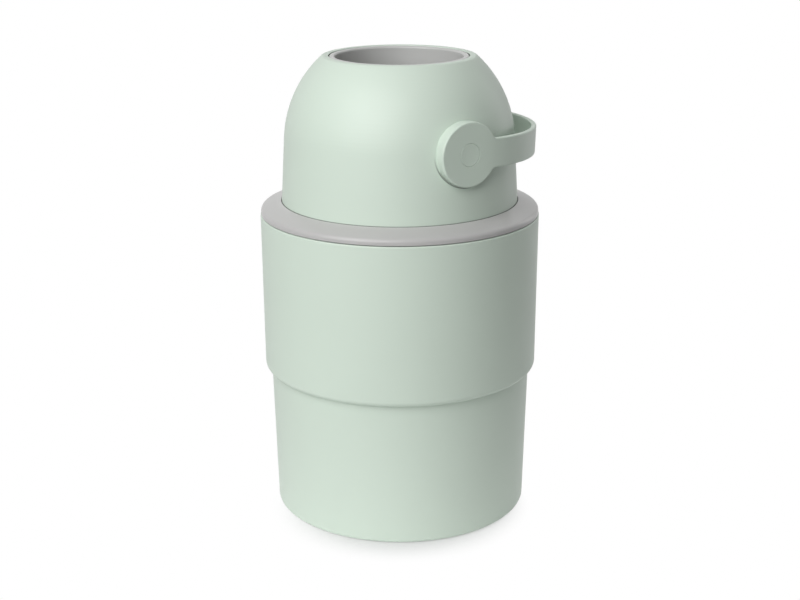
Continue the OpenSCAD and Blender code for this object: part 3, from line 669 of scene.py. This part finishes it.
# Painted shade and dust darken a line at the foot of the dome, along its joint with the shoulder ring.
dome_plastic = plastic("sage_dome", sage, 0.46, edges=(dome_top - 0.4,), joints=(dome_joint_z,))
dome_tree = dome_plastic.node_tree
dome_colour = dome_tree.nodes["Principled BSDF"].inputs["Base Color"]
dome_place = dome_tree.nodes.new("ShaderNodeTexCoord").outputs["Object"]
# The painted shadow line round each disc goes into the dome's colour.
disc_shadow_mask = effect(dome_tree, painted_disc_shadow, dome_place, {})["Mask"]
plain_colour = dome_colour.links[0].from_socket
join(dome_tree, blend_colour(dome_tree, disc_shadow_mask, plain_colour, tinted(sage, disc_shadow_shade)), dome_colour)
dress("dome_shell", dome_plastic)

# ---------------------------------------------------------------- throat
# The funnel under the ball, in grey polypropylene. Six screws hold it, the shoulder ring
# and the dome together from below.
dress("throat", grey_plastic)
head_screw_ring_r = span("head_screws", "x")[1] - screw_head_r
put("head_screw_set", ring_of_screws("head_screws", 6, head_screw_ring_r, heads_down=True),
    "head", "head_screws")

# ---------------------------------------------------------------- wiper seals
# Two rubber lips that lie against the ball: one under the dome's mouth, and one on the
# edge of the throat's cup.
dress("upper_wiper_seal", rubber)
dress("lower_wiper_seal", rubber)


# ---------------------------------------------------------------- bushes and trunnions
# Natural acetal: a flanged bush in each side of the dome, and a trunnion with a square key
# on either side of the ball. The handle's hubs run in the bushes.
def on_pivot(mesh, side):
    """A copy that stands on the pivot axis, towards the front (-1) or the back (1)."""
    stood = mesh.copy()
    stood.transform(Matrix.Translation((0, 0, pivot_z / 1000)) @ Matrix.Rotation(-side * math.pi / 2, 4, "X"))
    return stood


def one_mesh(name, parts):
    """Several meshes as one, with the material of the first."""
    shape = bmesh.new()
    for part in parts:
        shape.from_mesh(part)
    mesh = bpy.data.meshes.new(name)
    shape.to_mesh(mesh)
    shape.free()
    mesh.materials.append(parts[0].materials[0])
    mesh.shade_smooth()
    mesh.set_sharp_from_angle(angle=crease)
    return mesh


def on_both_sides(name, mesh, *others):
    """A mesh at the front and at the back of the pivot axis, with others as they are."""
    return one_mesh(name, [*others, on_pivot(mesh, -1), on_pivot(mesh, 1)])


acetal = plastic("white_acetal", (0.78, 0.78, 0.75), 0.30, grain=1800.0, depth=0.01)
for node in ("front_bush", "back_bush", "front_trunnion", "back_trunnion"):
    dress(node, acetal)
trunnion_screw_l = 6
trunnion_screw_ring_r = 15.5
trunnion_screw_seat = span("trunnion_screws", "y")[1] - screw_head_h
four = in_a_ring(screw(trunnion_screw_l), steel, count=4, ring_r=trunnion_screw_ring_r, start=45,
                 height=trunnion_screw_seat)
put("trunnion_screw_set", on_both_sides("trunnion_screw_set", four),
    "rotor", "trunnion_screws")

# ---------------------------------------------------------------- ball
# Two warm grey half shells that close round the chamber and are screwed together at their
# inner flanges.
for node in ("upper_ball_half", "lower_ball_half"):
    dress(node, plastic("grey_" + node, warm_grey, 0.38))
ball_screw_inset = 6.5       # from the ball's skin to the middle of a screw
ball_screw_ring_r = span("upper_ball_half", "x")[1] - ball_screw_inset
put("ball_screw_set", ring_of_screws("ball_screws", 4, ball_screw_ring_r, start=45, heads_down=True),
    "rotor", "ball_screws")

# ---------------------------------------------------------------- chamber
# The smooth tube through the ball, and the ring that finishes it at either mouth. Both are
# moulded in a close-grained grey that wipes clean.
inner_grey = (0.500, 0.503, 0.492)
mouth_edge = span("upper_mouth_ring", "z")[1] - 0.3
chamber_plastic = plastic("grey_chamber", inner_grey, 0.32, grain=1600.0, depth=0.01, edges=(mouth_edge,))
for node in ("chamber_tube", "upper_mouth_ring", "lower_mouth_ring"):
    dress(node, chamber_plastic)

# ---------------------------------------------------------------- piston
# The chamber's floor: a cup and a cover round a steel weight, with a rubber seal in a
# groove of each. The upper face is dished and has two fine rings.
cup_foot, cup_top = span("piston_cup", "z")
seals_foot, seals_top = span("piston_seals", "z")
piston_r = span("piston_cup", "x")[1]
piston_round = 1.8
piston_edge = 0.15           # small bevels of the foot and of the groove's mouth
piston_wall = 3.0
skirt_w = 5.5
seal_groove_depth = 2.5
seal_h = 4.0
seal_in_r = piston_r - 2.4
dish_r = 55.5
dish_depth = 0.9
fine_rings = ((18.3, 0.85), (39.3, 0.65))    # the radius of each, and the dish's depth there
ring_depth = 0.3

cup_face = [(0, cup_top - dish_depth)]
for ring, dip in fine_rings:
    brim = cup_top - dip
    cup_face += [(ring - 0.7, brim), (ring - 0.3, brim - ring_depth),
                 (ring + 0.3, brim - ring_depth), (ring + 0.7, brim + 0.05)]
cup_face += [(dish_r, cup_top - 0.5), *bend((dish_r + 2.5, cup_top - 1.5), 1.5, 120, 90, 3)]
cup_side = [
    *bend((piston_r - piston_round, cup_top - piston_round), piston_round, 90, 0, 7),
    (piston_r, seals_top + piston_edge),
    (piston_r - seal_groove_depth, seals_top - 0.05),
    (piston_r - seal_groove_depth, seals_top - seal_h + 0.05),
    (piston_r, seals_top - seal_h - piston_edge),
    (piston_r, cup_foot + piston_edge),
    (piston_r - piston_edge, cup_foot)]
cup_inside = [(piston_r - skirt_w, cup_foot), (piston_r - skirt_w, cup_top - piston_wall),
              (0, cup_top - piston_wall)]
piston_plastic = plastic("grey_piston", (0.52, 0.52, 0.51), 0.36, grain=1200.0)
put("piston_top", turned([*cup_face, *cup_side, *cup_inside], piston_plastic),
    "piston", "piston_cup")
dress("piston_cover", piston_plastic)
dress("piston_weight", steel)


def piston_seal(foot):
    """A square-backed ring with two lips, which stands at that height."""
    profile = [(0, 0), (1.7, 0), (2.55, 0.4), (2.1, 1.0),
               (2.1, 2.9), (2.65, 3.6), (1.8, seal_h), (0, seal_h), (0, 0)]
    return turned([(seal_in_r + out, foot + up) for out, up in profile], rubber)


both_seals = [piston_seal(seals_top - seal_h), piston_seal(seals_foot)]
put("piston_seal_set", one_mesh("piston_seal_set", both_seals), "piston", "piston_seals")
piston_screw_ring_r = span("piston_screws", "x")[1] - screw_head_r
put("piston_screw_set", ring_of_screws("piston_screws", 4, piston_screw_ring_r, heads_down=True),
    "piston", "piston_screws")

# ---------------------------------------------------------------- handle
# One sage moulding: a thick disc on either side of the dome, and the flat strap that bends
# round from disc to disc, flush with them and joined in small fillets. The discs lie in the
# dome's pockets, and their hubs run in the bushes.
face_y = span("handle_bail", "y")[1]
disc_r = 29.85
disc_t = 9.0
disc_back_round = 0.8
strap_half = 13.5
strap_t = 4.8
bend_x = 16.0                # where the strap leaves the flat and starts round the dome
neck_r = 7.0                 # fillet between strap and disc
edge_r = 1.4
droop = 2.3                  # degrees
hub_r = 13.0
hub_end = 100.8
hub_edge = 0.4
cap_seat_r = 10.65
cap_seat_brim_r = cap_seat_r + 0.45
cap_seat_depth = 1.8
full_s = 2 * bend_x + math.pi * face_y       # s runs along the outer face from pivot to pivot
fillet_h = strap_half + neck_r
fillet_s = math.sqrt((disc_r + neck_r) ** 2 - fillet_h ** 2)
disc_steps, neck_steps, strap_steps, edge_steps = 40, 10, 52, 6
seat_points = 72


def handle_point(s, h, depth):
    """A point at s along the face, h above its middle and that deep under it."""
    if s <= bend_x:
        x, y = s, -(face_y - depth)
    elif s >= full_s - bend_x:
        x, y = full_s - s, face_y - depth
    else:
        turn = (s - bend_x) / face_y
        x, y = bend_x + (face_y - depth) * math.sin(turn), -(face_y - depth) * math.cos(turn)
    return x, y, h


def handle_outline(inset):
    """The handle's outline, drawn in by an inset, with the share of strap in each point."""
    meet = math.degrees(math.atan2(fillet_h, fillet_s))
    disc = [(*q, 0.0) for q in bend((0, 0), disc_r - inset, 180, meet, disc_steps)]
    fillet = bend((fillet_s, fillet_h), neck_r + inset, 180 + meet, 270, neck_steps)
    neck = [(*q, i / neck_steps) for i, q in enumerate(fillet)]
    strap = [(fillet_s + (full_s / 2 - fillet_s) * i / strap_steps, strap_half - inset, 1.0)
             for i in range(1, strap_steps + 1)]
    half = disc + neck[1:] + strap
    top = half + [(full_s - s, h, share) for s, h, share in reversed(half[:-1])]
    return top + [(s, -h, share) for s, h, share in reversed(top[1:-1])]


def back_outline(inset):
    """The outline with only its strap drawn in, because the discs are thicker than it."""
    return [(p[0] + (q[0] - p[0]) * p[2], p[1] + (q[1] - p[1]) * p[2], p[2])
            for p, q in zip(handle_outline(0), handle_outline(inset))]


def filled(loop, holes, spacing=3.0):
    """Triangles over the inside of a loop and outside its round holes, with points in between."""
    into_fillet, from_edge, from_hole = 4.0, 1.6, 1.2        # how far the points in between reach
    points = [Vector((s, h)) for s, h in loop]
    edges = [(i, (i + 1) % len(loop)) for i in range(len(loop))]
    for centre, hole in holes:
        first = len(points)
        points += [Vector(q) for q in hole]
        edges += [(first + i, first + (i + 1) % len(hole)) for i in range(len(hole))]
    s = -disc_r + spacing
    while s < full_s + disc_r:
        on_disc = min(abs(s), abs(full_s - s))
        on_strap = fillet_s - into_fillet < s < full_s - fillet_s + into_fillet
        half_disc = math.sqrt(max(disc_r ** 2 - on_disc ** 2, 0))
        tall = max(strap_half if on_strap else 0, half_disc) - edge_r - from_edge
        rows = int(tall / spacing)
        for r in range(-rows, rows + 1):
            spot = (s, r * tall / max(rows, 1))
            if all(math.dist(spot, centre) > math.dist(hole[0], centre) + from_hole
                   for centre, hole in holes):
                points.append(Vector(spot))
        s += spacing
    corners, _, faces, *_ = delaunay_2d_cdt(points, edges, [], 1, 0.00001)
    kept = []
    for f in faces:
        mid = (sum(corners[i].x for i in f) / 3, sum(corners[i].y for i in f) / 3)
        if all(math.dist(mid, centre) > math.dist(hole[0], centre) * 0.999 for centre, hole in holes):
            kept.append(f)
    return [tuple(q) for q in corners], kept


def lay(shape, points, depths):
    """A vertex for each point of the outer face, that deep under it."""
    return [shape.verts.new([c / 1000 for c in handle_point(point[0], point[1], depth)])
            for point, depth in zip(points, depths)]


def stitch(shape, first, second):
    """A closed band of faces between two loops of vertices."""
    for i in range(len(first)):
        j = (i + 1) % len(first)
        shape.faces.new((first[i], first[j], second[j], second[i]))


def cover(shape, loop, holes, depth):
    """The flat inside of a loop, that deep under the outer face."""
    points, faces = filled([(s, h) for s, h, _ in loop], holes)
    corners = lay(shape, points, [depth] * len(points))
    for f in faces:
        shape.faces.new([corners[i] for i in f])


def rounded_edges(shape):
    """The handle's sides and rounded edges; gives the loop that its face joins."""
    rims = []
    for i in range(edge_steps + 1):
        a = math.radians(90 * i / edge_steps)
        loop = handle_outline(edge_r * (1 - math.sin(a)))
        rims.append(lay(shape, loop, [edge_r * (1 - math.cos(a))] * len(loop)))
    for i in range(edge_steps + 1):
        a = math.radians(90 * i / edge_steps)
        loop = back_outline(edge_r * (1 - math.cos(a)))
        rims.append(lay(shape, loop, [strap_t - edge_r * (1 - math.sin(a)) * share for _, _, share in loop]))
    for first, second in zip(rims[:-1], rims[1:]):
        stitch(shape, first, second)
    return rims[0]


def seat_circle(centre, radius):
    """Points on the outer face, round the middle of a disc."""
    return bend(centre, radius, 0, 360 - 360 / seat_points, seat_points - 1)


def cap_seat(shape, centre):
    """The round seat of a screw cap, from the face over its rounded brim to its floor."""
    brim = ((cap_seat_brim_r, 0), (cap_seat_r + 0.25, 0), (cap_seat_r + 0.12, 0.04), (cap_seat_r, 0.2))
    floor = ((cap_seat_r, cap_seat_depth - 0.1), (cap_seat_r - 0.3, cap_seat_depth))
    last = None
    for radius, depth in brim + floor:
        loop = lay(shape, seat_circle(centre, radius), [depth] * seat_points)
        if last:
            stitch(shape, last, loop)
        last = loop
    shape.faces.new(last)


def handle_shell():
    """The face, edges and back of discs and strap, as one closed shell."""
    shape = bmesh.new()
    front_rim = rounded_edges(shape)
    centres = ((0.0, 0.0), (full_s, 0.0))
    support = handle_outline(edge_r + 0.2)
    cover(shape, support, [(centre, seat_circle(centre, cap_seat_brim_r)) for centre in centres], 0)
    stitch(shape, lay(shape, support, [0] * len(support)), front_rim)
    for centre in centres:
        cap_seat(shape, centre)
    cover(shape, back_outline(edge_r), [], strap_t)
    mesh = bpy.data.meshes.new("handle_shell")
    shape.to_mesh(mesh)
    shape.free()
    return mesh


def handle_hub(material):
    """The thick back of a disc and its hub, turned about the pivot."""
    disc_back = face_y - disc_t
    round_at = (disc_r - disc_back_round, disc_back + disc_back_round)
    return turned([(0, face_y - strap_t), (disc_r, face_y - strap_t),
                   *bend(round_at, disc_back_round, 0, -90, 4), (hub_r, disc_back),
                   (hub_r, hub_end + hub_edge), (hub_r - hub_edge, hub_end), (0, hub_end)],
                  material, steps=144)


handle_plastic = plastic("sage_handle", tinted(sage, 0.985), 0.43)
shell = handle_shell()
shell.transform(Matrix.Translation((0, 0, pivot_z / 1000)) @ Matrix.Rotation(math.radians(droop), 4, "Y"))
shell.materials.append(handle_plastic)
smooth(shell)
hub = handle_hub(handle_plastic)
put("carry_handle", on_both_sides("carry_handle", hub, shell), "rotor", "handle_bail")

handle_screw_l = 15.5
handle_screw_seat = span("handle_screws", "y")[1] - screw_head_h
long_screw = screw(handle_screw_l)
long_screw.transform(Matrix.Translation((0, 0, handle_screw_seat / 1000)))
put("handle_screw_set", on_both_sides("handle_screw_set", long_screw),
    "rotor", "handle_screws")

# ---------------------------------------------------------------- handle caps
# A plain round cap closes each screw's seat. It lies a hair below the disc's face, with a
# fine seam round it and a shallow dish in its middle.
cap_back, cap_face = span("back_cap", "y")
cap_r = span("back_cap", "x")[1]
cap_back_round = 0.3
cap_face_round = 0.35
cap = turned([(0, cap_back),
              *bend((cap_r - cap_back_round, cap_back + cap_back_round), cap_back_round, -90, 0, 3),
              *bend((cap_r - cap_face_round, cap_face - cap_face_round), cap_face_round, 0, 90, 5),
              (cap_r - 1.2, cap_face),
              *bend((cap_r - 1.9, cap_face + 0.6), 0.65, -60, -90, 4),
              (4.0, cap_face - 0.18), (0, cap_face - 0.22)], handle_plastic, steps=144)
put("front_screw_cap", on_pivot(cap, -1), "rotor", "front_cap")
put("back_screw_cap", on_pivot(cap, 1), "rotor", "back_cap")
